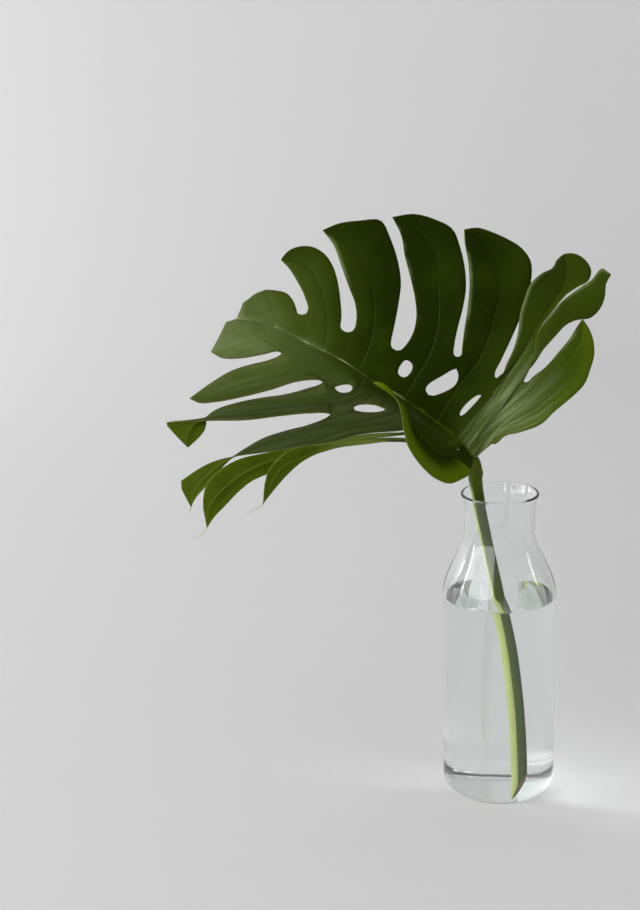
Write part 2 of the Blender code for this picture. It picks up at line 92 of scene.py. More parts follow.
# Each slit ends towards the midrib at a point; some have a hole nearer the midrib: start, end, half width.
FAR_SLITS = [
    dict(end=(-209, 20, 421)),
    dict(end=(-160, 16, 415)),
    dict(end=(-124, 9, 401)),
    dict(end=(-84, 3, 386), hole=((-81, -4, 366), (-75, 1, 378), 5.0)),
    dict(end=(-35, 0, 380), hole=((-59, -8, 351), (-36, -3, 371), 7.5)),
    dict(end=(-4, -6, 363), hole=((-34, -13, 334), (-17, -9, 350), 3.2)),
    dict(end=(27, 2, 394)),
    dict(end=(17, -12, 361)),
    dict(end=(-12, -34, 316)),
]
NEAR_SLITS = [
    dict(end=(-217, 15, 412)),
    dict(end=(-177, -8, 389), blunt=0.5),
    dict(end=(-144, -28, 369), blunt=0.3, hole=((-121, -24, 364), (-134, -28, 362), 5.0)),
    dict(end=(-139, -60, 350), blunt=0.15, hole=((-99, -44, 351), (-120, -54, 351), 8.0)),
    dict(end=(-79, -70, 338)),
    dict(end=(-74, -68, 331)),
    dict(end=(-36, -32, 311)),
    dict(end=(-28, -38, 296)),
]

# Each lobe's free margin towards the blade's tip, its vein, its free margin towards the stalk, and its point.
FAR_LOBES = [
    dict(
        tipward=[(-204, 24, 427), (-198, 27, 431)],
        vein=[(-183, 22, 420)],
        stalkward=[(-164, 20, 419), (-167, 25, 426), (-172, 29, 431), (-180, 31, 433)],
        point=(-189, 31, 434),
    ),
    dict(
        tipward=[(-155, 19, 418), (-157, 25, 428), (-163, 33, 440), (-169, 40, 449)],
        vein=[(-140, 9, 400), (-139, 17, 414), (-144, 31, 434), (-156, 43, 452)],
        stalkward=[
            (-128, 14, 409), (-128, 24, 425), (-130, 33, 440), (-134, 41, 452), (-141, 46, 461),
            (-151, 49, 466), (-162, 49, 466), (-171, 48, 462),
        ],
        point=(-176, 46, 456),
    ),
    dict(
        tipward=[(-116, 14, 408), (-116, 21, 421), (-121, 30, 435), (-127, 41, 452), (-132, 50, 466)],
        vein=[(-109, 2, 382), (-103, 9, 396), (-100, 20, 417), (-103, 33, 438), (-112, 48, 462)],
        stalkward=[
            (-88, 6, 393), (-85, 12, 404), (-81, 21, 420), (-78, 32, 437), (-80, 42, 454),
            (-85, 50, 470), (-93, 57, 485), (-110, 59, 485), (-128, 59, 483),
        ],
        point=(-141, 58, 478),
    ),
    dict(
        tipward=[
            (-78, 5, 388), (-71, 9, 397), (-67, 16, 409), (-67, 25, 423), (-70, 35, 440),
            (-74, 45, 457), (-76, 53, 472),
        ],
        vein=[(-69, -4, 364), (-59, 2, 378), (-50, 12, 400), (-47, 28, 426), (-48, 45, 454), (-60, 56, 474)],
        stalkward=[
            (-37, 4, 389), (-34, 11, 400), (-28, 21, 418), (-25, 30, 431), (-25, 39, 446),
            (-28, 47, 462), (-34, 55, 477), (-47, 60, 484), (-65, 62, 489),
        ],
        point=(-83, 61, 487),
    ),
    dict(
        tipward=[
            (-31, 2, 386), (-29, 8, 397), (-25, 19, 415), (-22, 30, 433), (-22, 40, 451), (-24, 48, 466),
        ],
        vein=[(-37, -6, 353), (-16, 4, 378), (-3, 20, 406), (3, 34, 428), (1, 46, 449), (-8, 54, 464)],
        stalkward=[
            (0, 1, 375), (8, 10, 388), (17, 20, 404), (25, 31, 421), (30, 40, 437), (30, 47, 450),
            (23, 52, 460), (12, 56, 467), (-1, 58, 473), (-13, 57, 477),
        ],
        point=(-24, 54, 476),
    ),
    dict(
        tipward=[
            (4, -3, 373), (10, 2, 384), (15, 8, 398), (17, 13, 412), (21, 17, 423), (26, 21, 434),
            (36, 26, 442), (46, 31, 446), (50, 35, 452),
        ],
        vein=[(-18, -12, 338), (-1, -7, 356), (16, 0, 379), (30, 8, 401), (44, 18, 419), (57, 30, 438)],
        stalkward=[
            (37, 7, 407), (47, 12, 419), (56, 18, 427), (66, 23, 432), (76, 30, 436), (78, 34, 442),
            (72, 38, 452), (64, 39, 456),
        ],
        point=(56, 37, 456),
    ),
    dict(
        tipward=[(36, 2, 407), (46, 6, 418), (55, 11, 425), (65, 15, 431), (75, 17, 437), (84, 18, 446)],
        vein=[(-11, -18, 333), (6, -15, 353), (24, -8, 376), (40, -1, 395), (58, 7, 411), (73, 12, 423)],
        stalkward=[
            (25, -8, 373), (34, -4, 385), (44, 0, 395), (53, 4, 403), (62, 8, 406), (74, 11, 407),
            (82, 13, 414), (86, 15, 423), (87, 16, 434),
        ],
        point=(91, 17, 441),
    ),
    dict(
        tipward=[(23, -14, 364), (34, -12, 372), (45, -8, 383), (55, -4, 394), (61, 0, 402)],
        vein=[(-15, -28, 319), (4, -27, 336), (29, -22, 355), (50, -14, 376), (64, -6, 394)],
        stalkward=[
            (-3, -38, 322), (10, -42, 327), (27, -44, 334), (36, -42, 342), (45, -38, 348),
            (55, -34, 355), (63, -28, 361), (69, -21, 372), (73, -14, 382), (73, -8, 393), (70, -2, 402),
        ],
        point=(66, 3, 408),
    ),
]
NEAR_LOBES = [
    dict(
        tipward=[(-223, 11, 408), (-228, 7, 399)],
        vein=[(-198, 6, 402), (-217, 3, 395)],
        stalkward=[(-192, -8, 388), (-212, -7, 385), (-226, -2, 385)],
        point=(-234, 2, 389),
    ),
    dict(
        tipward=[(-186, -10, 384), (-200, -11, 381), (-216, -14, 377), (-233, -22, 369)],
        vein=[(-148, -10, 380), (-162, -17, 376), (-184, -22, 372), (-210, -27, 367), (-232, -31, 362)],
        stalkward=[(-161, -31, 371), (-186, -35, 365), (-211, -38, 360), (-230, -38, 357), (-243, -35, 356)],
        point=(-250, -32, 359),
    ),
    dict(
        tipward=[
            (-158, -31, 364), (-174, -35, 361), (-192, -40, 360), (-210, -45, 358), (-230, -52, 353),
            (-235, -60, 350), (-236, -67, 342), (-243, -67, 334),
        ],
        vein=[
            (-117, -25, 361), (-135, -40, 358), (-151, -48, 357), (-174, -54, 357), (-201, -59, 356),
            (-228, -64, 352), (-245, -68, 346), (-250, -68, 338),
        ],
        stalkward=[
            (-156, -66, 353), (-179, -69, 352), (-204, -71, 350), (-233, -70, 350), (-250, -68, 349),
            (-266, -64, 347), (-259, -66, 338),
        ],
        point=(-250, -66, 328),
    ),
    dict(
        tipward=[
            (-156, -68, 344), (-174, -73, 341), (-192, -80, 337), (-204, -87, 332), (-214, -94, 327),
            (-224, -96, 317), (-235, -97, 305), (-244, -97, 295),
        ],
        vein=[
            (-84, -48, 343), (-101, -62, 343), (-118, -70, 343), (-143, -79, 343), (-160, -84, 340),
            (-192, -88, 335), (-214, -94, 327), (-234, -95, 313), (-244, -96, 301),
        ],
        stalkward=[
            (-86, -77, 340), (-110, -82, 340), (-125, -87, 339), (-141, -91, 335), (-161, -95, 334),
            (-192, -95, 330), (-215, -94, 327), (-227, -93, 324), (-238, -92, 319), (-247, -91, 313),
            (-255, -93, 307), (-252, -95, 299),
        ],
        point=(-247, -97, 289),
    ),
    dict(
        tipward=[
            (-87, -69, 336), (-125, -85, 336), (-144, -98, 334), (-163, -108, 328), (-175, -112, 323),
            (-187, -116, 319), (-198, -118, 315), (-209, -119, 307), (-220, -120, 296), (-228, -120, 288),
        ],
        vein=[
            (-67, -48, 332), (-87, -73, 336), (-125, -91, 337), (-144, -101, 336), (-170, -110, 331),
            (-196, -116, 325), (-219, -120, 311), (-232, -120, 295),
        ],
        stalkward=[
            (-86, -73, 337), (-125, -93, 340), (-144, -102, 338), (-163, -107, 337), (-191, -113, 334),
            (-209, -117, 331), (-221, -119, 325), (-232, -120, 315), (-236, -120, 301),
        ],
        point=(-234, -119, 279),
    ),
    dict(
        tipward=[
            (-86, -78, 331), (-120, -98, 335), (-137, -109, 336), (-147, -117, 335), (-161, -124, 330),
            (-173, -128, 321), (-183, -130, 310),
        ],
        vein=[
            (-53, -42, 319), (-84, -77, 332), (-118, -100, 337), (-140, -114, 338), (-160, -123, 334),
            (-176, -129, 328), (-185, -130, 315),
        ],
        stalkward=[
            (-61, -52, 320), (-84, -78, 334), (-110, -96, 339), (-129, -108, 341), (-144, -117, 341),
            (-159, -125, 342), (-171, -128, 340), (-179, -130, 334), (-185, -131, 328), (-189, -131, 317),
        ],
        point=(-191, -130, 300),
    ),
    dict(
        span=2,
        tipward=[
            (-36, -33, 311), (-47, -47, 320), (-59, -66, 335), (-75, -80, 350), (-83, -87, 361),
            (-89, -91, 368), (-94, -90, 376), (-102, -89, 381),
        ],
        vein=[
            (-35, -33, 306), (-48, -46, 308), (-62, -62, 319), (-75, -78, 338), (-84, -90, 360),
            (-98, -92, 377),
        ],
        stalkward=[
            (-34, -50, 293), (-46, -62, 292), (-58, -72, 299), (-68, -81, 310), (-76, -88, 322),
            (-81, -93, 332), (-84, -96, 345), (-86, -97, 359), (-89, -96, 369), (-96, -94, 374),
            (-102, -91, 377),
        ],
        point=(-107, -86, 380),
    ),
]
# Rows between the midrib and the slits' inner ends, before they are divided more finely
HOLE_START, HOLE_END, SLIT_ROW = 3, 7, 8
# The dried threads' bends, from the points of the fourth to sixth near lobes
THREAD_BENDS = [
    [(-1, 0, -3), (-1, 0, -6)],
    [(-3, 0, -4), (-8, 0, -7), (-11, 0, -8)],
    [(-3, 0, -3), (-8, 0, -5), (-12, 0, -9)],
]
FREE_SPACING = 1.6
WEB_STEP = 0.25
FREE_ROWS = 44
COLUMNS = 20


# Shader maths

class Signal:
    """A value socket that takes part in Python expressions; each operation adds one Math node."""

    def __init__(self, recipe, socket):
        self.recipe, self.socket = recipe, socket

    def _math(self, operation, *values, clamp=False):
        return self.recipe.node("ShaderNodeMath", dict(operation=operation, use_clamp=clamp), *values)

    def __add__(self, other):
        return self._math("ADD", self, other)

    def __sub__(self, other):
        return self._math("SUBTRACT", self, other)

    def __rsub__(self, other):
        return self._math("SUBTRACT", other, self)

    def __mul__(self, other):
        return self._math("MULTIPLY", self, other)

    def __truediv__(self, other):
        return self._math("DIVIDE", self, other)

    __radd__, __rmul__ = __add__, __mul__

    def sine(self):
        return self._math("SINE", self)

    def size(self):
        return self._math("ABSOLUTE", self)

    def clipped(self):
        return self._math("ADD", self, 0.0, clamp=True)

    def ramp(self, low, high, start=0.0, stop=1.0):
        """Eases from start to stop while the signal goes from low to high."""
        settings = dict(interpolation_type="SMOOTHSTEP")
        return self.recipe.node("ShaderNodeMapRange", settings, self, low, high, start, stop)


class Recipe:
    """One material: its node tree, its Principled shader, and one way to add any other node."""

    def __init__(self, name, roughness=0.5, **constants):
        self.material = bpy.data.materials.new(name)
        self.material.use_nodes = True
        self.tree = self.material.node_tree
        self.shader = self.tree.nodes["Principled BSDF"]
        self.output = self.tree.nodes["Material Output"]
        self.feed("Roughness", roughness)
        for key, value in constants.items():
            self.shader.inputs[key.replace("_", " ")].default_value = value

    def node(self, kind, settings, *values, **named):
        """Adds a node: settings first, then its sockets' values or links by place or by name."""
        node = self.tree.nodes.new(kind)
        for key, value in settings.items():
            setattr(node, key, value)
        sockets = [s for s in node.inputs if s.enabled] if kind == "ShaderNodeMix" else list(node.inputs)
        for socket, value in zip(sockets, values):
            self.plug(socket, value)
        for key, value in named.items():
            self.plug(node.inputs[key], value)
        return Signal(self, next(s for s in node.outputs if s.enabled))

    def plug(self, socket, value):
        if value is None:
            return
        if isinstance(value, Signal):
            self.tree.links.new(value.socket, socket)
        elif isinstance(value, tuple) and len(value) == 3 and socket.type == "RGBA":
            socket.default_value = (*value, 1.0)
        else:
            socket.default_value = value

    def feed(self, name, value):
        self.plug(self.shader.inputs[name], value)

    def place(self, scale=(1.0, 1.0, 1.0)):
        """The object's own coordinates, stretched by the scale."""
        readings = self.node("ShaderNodeTexCoord", {}).socket.node.outputs
        return self.node("ShaderNodeMapping", {}, Signal(self, readings["Object"]), None, None, scale)

    def noise(self, scale, detail=3.0, roughness=0.55, vector=None, stretch=(1.0, 1.0, 1.0)):
        """Soft noise between 0 and 1, read in the object's own metres."""
        where = vector or self.place(stretch)
        grain = dict(Scale=scale, Detail=detail, Roughness=roughness)
        return self.node("ShaderNodeTexNoise", {}, Vector=where, **grain)

    def chart(self, name):
        """The two millimetre readings of one of the piece's own UV maps."""
        chart = self.node("ShaderNodeUVMap", dict(uv_map=name))
        parts = self.node("ShaderNodeSeparateXYZ", {}, chart)
        across, along = parts.socket.node.outputs[:2]
        return Signal(self, across), Signal(self, along)

    def blend(self, share, first, second):
        """The first colour, turning into the second as the share goes from 0 to 1."""
        settings = dict(data_type="RGBA", blend_type="MIX", clamp_factor=True)
        return self.node("ShaderNodeMix", settings, share, first, second)

    def relief(self, height, distance, strength):
        """Bends the shading normal by the slope of a height between 0 and 1."""
        bump = self.node("ShaderNodeBump", {}, Height=height, Distance=distance, Strength=strength)
        self.feed("Normal", bump)

    def clear_to_lamps(self, tint):
        """Lamps shine through the piece, thinned by the tint, so it casts the faint shadow of clear glass."""
        see_through = self.node("ShaderNodeBsdfTransparent", {}, tint)
        rays = self.node("ShaderNodeLightPath", {}).socket.node
        to_lamps = Signal(self, rays.outputs["Is Shadow Ray"])
        solid = Signal(self, self.shader.outputs[0])
        mixed = self.node("ShaderNodeMixShader", {}, to_lamps, solid, see_through)
        self.plug(self.output.inputs["Surface"], mixed)


def rgb(red, green, blue):
    """A colour as it looks on a screen, 0 to 255, in the renderer's linear values."""
    shares = np.array([red, green, blue]) / 255.0
    linear = np.where(shares <= 0.04045, shares / 12.92, ((shares + 0.055) / 1.055) ** 2.4)
    return tuple(float(value) for value in linear)


# Surfaces

def piece(name, points, faces, materials, slot, indices=None, charts=None):
    """A mesh object from points in millimetres; charts are UV maps given point by point."""
    mesh = bpy.data.meshes.new(name)
    mesh.from_pydata((np.asarray(points) * MM).tolist(), [], [list(map(int, face)) for face in faces])
    for title, values in (charts or {}).items():
        layer = mesh.uv_layers.new(name=title)
        corners = np.empty(len(mesh.loops), np.int32)
        mesh.loops.foreach_get("vertex_index", corners)
        layer.data.foreach_set("uv", np.asarray(values, np.float32)[corners].ravel())
    for recipe in materials:
        mesh.materials.append(recipe.material)
    if indices is not None:
        mesh.polygons.foreach_set("material_index", np.asarray(indices, np.int32))
    mesh.polygons.foreach_set("use_smooth", np.ones(len(mesh.polygons), bool))
    mesh.update()
    obj = bpy.data.objects.new(name, mesh)
    bpy.context.scene.collection.objects.link(obj)
    if slot:
        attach(obj, "root")
    return obj


def curve_at(points, shares):
    """A smooth curve through points, read at shares of its chord length.

    Between two points it is the cubic whose end slopes are the finite differences there.
    """
    points = np.array(points, float)
    chords = np.linalg.norm(np.diff(points[:, :3], axis=0), axis=1)
    knots = np.concatenate([[0.0], np.cumsum(chords)]) / chords.sum()
    slopes = np.gradient(points, knots, axis=0)
    shares = np.asarray(shares, float)
    left = np.clip(np.searchsorted(knots, shares, side="right") - 1, 0, len(knots) - 2)
    step = (knots[left + 1] - knots[left])[:, None]
    u = (shares - knots[left])[:, None] / step
    return (
        points[left] * (1 + 2 * u) * (1 - u) ** 2
        + slopes[left] * step * u * (1 - u) ** 2
        + points[left + 1] * u * u * (3 - 2 * u)
        + slopes[left + 1] * step * u * u * (u - 1)
    )


def unit(vectors):
    """Vectors over their own lengths."""
    return vectors / np.maximum(np.linalg.norm(vectors, axis=-1, keepdims=True), 1e-9)


def turned(profile, turns):
    """Profile (radius, height) turned round Z: x = r cos a, y = r sin a, closed by a point at each end."""
    profile = np.asarray(profile, float)
    ring = profile[1:-1]
    angles = np.linspace(0.0, 2 * np.pi, turns, endpoint=False)
    x = ring[:, 0][:, None] * np.cos(angles)
    y = ring[:, 0][:, None] * np.sin(angles)
    z = np.repeat(ring[:, 1][:, None], turns, axis=1)
    points = np.concatenate([
        [[0.0, 0.0, profile[0, 1]]],
        np.stack([x, y, z], axis=-1).reshape(-1, 3),
        [[0.0, 0.0, profile[-1, 1]]],
    ])
    number = 1 + np.arange(len(ring) * turns).reshape(len(ring), turns)
    following = np.roll(number, -1, axis=1)
    quads = np.stack([number[:-1], number[1:], following[1:], following[:-1]], axis=-1).reshape(-1, 4)
    first = np.stack([np.zeros(turns, int), number[0], following[0]], axis=-1)
    last = np.stack([np.full(turns, len(points) - 1), following[-1], number[-1]], axis=-1)
    return points, [*first.tolist(), *quads.tolist(), *last.tolist()]


def arc(centre, radius, start, stop, count):
    """Points of an ellipse's arc: centre plus radius times the cosine and sine of the angle, in degrees."""
    angles = np.radians(np.linspace(start, stop, count))
    return [(centre[0] + radius[0] * np.cos(a), centre[1] + radius[1] * np.sin(a)) for a in angles]


def shoulder(body, neck, count):
    """The radius eases from body to neck as 3s^2 - 2s^3 of the height's share s."""
    shares = np.linspace(0.0, 1.0, count)
    ease = shares * shares * (3 - 2 * shares)
    return list(zip(body + (neck - body) * ease, SHOULDER_LOW + (SHOULDER_HIGH - SHOULDER_LOW) * shares))


def tube(path, turns, section):
    """A closed tube: ring i is path[i] + r (cos a n + sin a b), with n and b carried along without twist.

    section(share, angle) gives the radius as a factor of the path's own. The chart is (cos a, sin a).
    """
    path = np.asarray(path, float)
    centre, radius = path[:, :3], path[:, 3]
    tangent = unit(np.gradient(centre, axis=0))
    normal = np.empty_like(tangent)
    normal[0] = unit(np.cross(tangent[0], (0.0, 1.0, 0.0)))
    for i in range(1, len(path)):
        carried = normal[i - 1] - tangent[i] * (normal[i - 1] @ tangent[i])
        normal[i] = unit(carried)
    side = np.cross(tangent, normal)
    angles = np.linspace(0.0, 2 * np.pi, turns, endpoint=False)
    shares = np.linspace(0.0, 1.0, len(path))
    reach = (radius[:, None] * section(shares[:, None], angles[None, :]))[..., None]
    rings = centre[:, None] + reach * (
        np.cos(angles)[None, :, None] * normal[:, None] + np.sin(angles)[None, :, None] * side[:, None]
    )
    points = np.concatenate([[centre[0]], rings.reshape(-1, 3), [centre[-1]]])
    number = 1 + np.arange(len(path) * turns).reshape(len(path), turns)
    following = np.roll(number, -1, axis=1)
    quads = np.stack([number[:-1], following[:-1], following[1:], number[1:]], axis=-1).reshape(-1, 4)
    first = np.stack([np.zeros(turns, int), following[0], number[0]], axis=-1)
    last = np.stack([np.full(turns, len(points) - 1), number[-1], following[-1]], axis=-1)
    around = np.stack([np.cos(angles), np.sin(angles)], axis=-1)
    charts = np.concatenate([[[0.0, 0.0]], np.tile(around, (len(path), 1)), [[0.0, 0.0]]])
    return points, [*first.tolist(), *quads.tolist(), *last.tolist()], charts


# Blade

def nearest_share(points, spot):
    """Where along the curve through points it comes nearest to a spot, leaving out its two ends."""
    shares = np.linspace(0.15, 0.85, 71)
    return shares[np.argmin(np.linalg.norm(curve_at(points, shares) - spot, axis=1))]


def length_of(path):
    """The sum of a path's chords."""
    return np.linalg.norm(np.diff(np.array(path, float), axis=0), axis=1).sum()


def web_shares(path, slit, half_width):
    """How far along a parting each row between the midrib and the slit lies, as shares of its length."""
    length = length_of(path)
    band = min(half_width / length, 0.2)
    if "hole" not in slit:
        return [0.0, *np.linspace(band, 1.0, SLIT_ROW)]
    chords = np.cumsum(np.linalg.norm(np.diff(np.array(path, float), axis=0), axis=1)) / length
    start, end = chords[0], chords[1]
    return [0.0, band, (band + start) / 2, *np.linspace(start, end, HOLE_END - HOLE_START + 1), 1.0]


def slit_axes(lobes, slits):
    """The direction in which each slit opens.

    It is that of the mean of its two margins' first points, or at the two ends that of the lobe's vein.
    """
    axes = [unit(np.array(lobes[0]["vein"][-1], float) - slits[0]["end"])]
    for before, after, slit in zip(lobes[:-1], lobes[1:], slits[1:-1]):
        axes.append(unit(np.mean([before["stalkward"][0], after["tipward"][0]], axis=0) - slit["end"]))
    axes.append(unit(np.array(lobes[-1]["vein"][-1], float) - slits[-1]["end"]))
    return axes


def round_end(slit, axis, first):
    """Points on the quarter circle that a margin sets off along from its slit's inner end."""
    end = slit["end"]
    step = np.array(first, float) - end
    forward = step @ axis
    across = (step - axis * forward) * slit.get("blunt", 1.0)
    radius = np.linalg.norm(across)
    points = [end + axis * radius * 0.29 + across * 0.71]
    if forward > 1.2 * radius:
        points.append(end + axis * radius * 0.83 + across * 0.98)
    return points


def hole_width(slit, rows):
    """Half the hole's width on each row: an ellipse between the rows where it starts and ends."""
    if "hole" not in slit:
        return np.zeros(len(rows))
    middle = (HOLE_START + HOLE_END) / 2
    u = (rows - middle) / (HOLE_END - middle)
    return slit["hole"][2] * np.sqrt(np.clip(1 - u * u, 0.0, 1.0))


def lobe_grid(lobe, root, slits, axes, partings, web_rows, free_rows, columns):
    """One lobe's points: rows outwards from the midrib, columns from tipward to stalkward margin.

    A row is margin + (vein - margin) t, with t crowded towards the vein, whose groove has its own faces.
    """
    roots = curve_at(MIDRIB, [partings[0], root, partings[1]])
    sides = []
    keys = ("tipward", "stalkward")
    for start, slit, axis, share, key in zip(roots[[0, 2]], slits, axes, partings, keys):
        hole = list(slit["hole"][:2]) if "hole" in slit else []
        path = [start, *hole, slit["end"]]
        shares = web_shares(path, slit, np.interp(share, [0.0, 1.0], MIDRIB_HALF_WIDTH))
        web = curve_at(path, np.interp(web_rows, range(SLIT_ROW + 1), shares))
        margin = [slit["end"], *round_end(slit, axis, lobe[key][0]), *lobe[key], lobe["point"]]
        free = curve_at(margin, free_rows)
        sides.append((web, free, shares, hole_width(slit, web_rows)))
    vein_path = [roots[1], *lobe["vein"], lobe["point"]]
    joined = nearest_share(vein_path, (np.array(slits[0]["end"]) + slits[1]["end"]) / 2)
    vein_shares = (np.array(sides[0][2]) + sides[1][2]) / 2 * joined
    vein_web = curve_at(vein_path, np.interp(web_rows, range(SLIT_ROW + 1), vein_shares))
    vein_free = curve_at(vein_path, joined + (1 - joined) * free_rows)
    vein = np.concatenate([vein_web, vein_free])
    margins, open_width = [], []
    for web, free, _, width in sides:
        margins.append(np.concatenate([web + unit(vein_web - web) * width[:, None], free]))
        open_width.append(np.concatenate([width, np.ones(len(free))]) > 0)
    half = np.linspace(0.0, 1.0, columns // 2 + 1)
    across = (1 - (1 - half) ** 1.5)[None, :, None]
    first = margins[0][:, None] * (1 - across) + vein[:, None] * across
    back = across[:, ::-1]
    second = vein[:, None] * back + margins[1][:, None] * (1 - back)
    grid = np.concatenate([first, second[:, 1:]], axis=1)
    shares = np.concatenate([across.ravel(), across.ravel()[::-1][1:]])
    steps = np.linalg.norm(np.diff(grid, axis=1), axis=2)
    running = np.concatenate([np.zeros((len(grid), 1)), np.cumsum(steps, axis=1)], axis=1)
    centre = columns // 2
    from_vein = running - running[:, centre:centre + 1]
    total = running[:, -1:]
    far = 40.0
    to_first = np.where(open_width[0][:, None], running, far)
    to_second = np.where(open_width[1][:, None], total - running, far)
    # A folded lobe's upper margin lies along the midrib, and only its other margin counts.
    to_margin = to_second if lobe.get("span", 1) > 1 else np.minimum(to_first, to_second)
    vein_steps = np.linalg.norm(np.diff(vein, axis=0), axis=1)
    along = np.concatenate([[0.0], np.cumsum(vein_steps)])[:, None] + 0 * from_vein
    left = along[-1] - along
    rib_shares = partings[0] + (partings[1] - partings[0]) * np.linspace(0.0, 1.0, columns + 1)
    grid[0] = curve_at(MIDRIB, rib_shares)
    return grid, shares, dict(
        veins=np.stack([from_vein, along], axis=-1),
        margins=np.stack([to_margin, left], axis=-1),
    )


def swell(grid, shares, facing):
    """Raises the grid between its veins and margins by a half sine, along the surface's own normal."""
    normal = unit(np.cross(np.gradient(grid, axis=0), np.gradient(grid, axis=1))) * facing
    wave = np.sin(np.pi * shares)[None, :, None]
    width = np.linalg.norm(grid[:, -1] - grid[:, 0], axis=1)[:, None, None]
    rise = np.clip(np.linspace(0, 1, len(grid)) * 6, 0.0, 1.0)[:, None, None]
    return grid + normal * wave * rise * PUCKER * np.clip(width / 30.0, 0.0, 1.0)


def blade_surface():
    """The blade's upper face: points, quads, wanted thickness, and the UV charts."""
    web_rows = np.arange(0, SLIT_ROW + WEB_STEP / 2, WEB_STEP)
    free_rows = (np.arange(1, FREE_ROWS + 1) / FREE_ROWS) ** FREE_SPACING
    points, faces, thickness, veins, margins, ribs = [], [], [], [], [], []
    halves = ((FAR_LOBES, FAR_ROOTS, FAR_SLITS, -1.0), (NEAR_LOBES, NEAR_ROOTS, NEAR_SLITS, 1.0))
    for lobes, roots, slits, facing in halves:
        axes = slit_axes(lobes, slits)
        place = 0
        for index, (lobe, root) in enumerate(zip(lobes, roots)):
            span = lobe.get("span", 1)
            partings = (PARTINGS[place], PARTINGS[place + span])
            place += span
            count = COLUMNS * span
            pair = slice(index, index + 2)
            grid, shares, charts = lobe_grid(
                lobe, root, slits[pair], axes[pair], partings, web_rows, free_rows, count)
            grid = swell(grid, shares, facing)
            first = sum(len(block) for block in points)
            rows = len(grid)
            points.append(grid.reshape(-1, 3))
            number = first + np.arange(rows * (count + 1)).reshape(rows, count + 1)
            a, b = number[:-1, :-1].ravel(), number[:-1, 1:].ravel()
            c, d = number[1:, 1:].ravel(), number[1:, :-1].ravel()
            faces.append(np.stack((a, b, c, d) if facing < 0 else (a, d, c, b), axis=1))
            thick = np.full((rows, count + 1), BLADE_THICKNESS)
            fade = np.linspace(1.0, 0.0, rows)[:, None]
            near_vein = np.exp(-(charts["veins"][..., 0] / 1.6) ** 2)
            thick += (SIDE_VEIN_THICKNESS - BLADE_THICKNESS) * fade * near_vein
            along = np.linspace(partings[0], partings[1], count + 1)
            from_rib = np.linalg.norm(grid - grid[:1], axis=2)
            stout = MIDRIB_THICKNESS * np.interp(along, [0.0, 0.5, 1.0], [0.4, 0.7, 1.0])
            width = np.interp(along, [0.0, 1.0], MIDRIB_HALF_WIDTH)
            thick += np.maximum(stout - BLADE_THICKNESS, 0.0) * np.clip(1 - (from_rib / width) ** 2, 0.0, 1.0)
            thickness.append(np.minimum(thick, MIDRIB_THICKNESS).ravel())
            veins.append(charts["veins"].reshape(-1, 2))
            margins.append(charts["margins"].reshape(-1, 2))
            signed = from_rib * -facing
            ribs.append(np.stack([signed, np.broadcast_to(along, from_rib.shape)], axis=-1).reshape(-1, 2))
    charts = dict(veins=np.concatenate(veins), margins=np.concatenate(margins), ribs=np.concatenate(ribs))
    return np.concatenate(points), np.concatenate(faces), np.concatenate(thickness), charts


# Materials

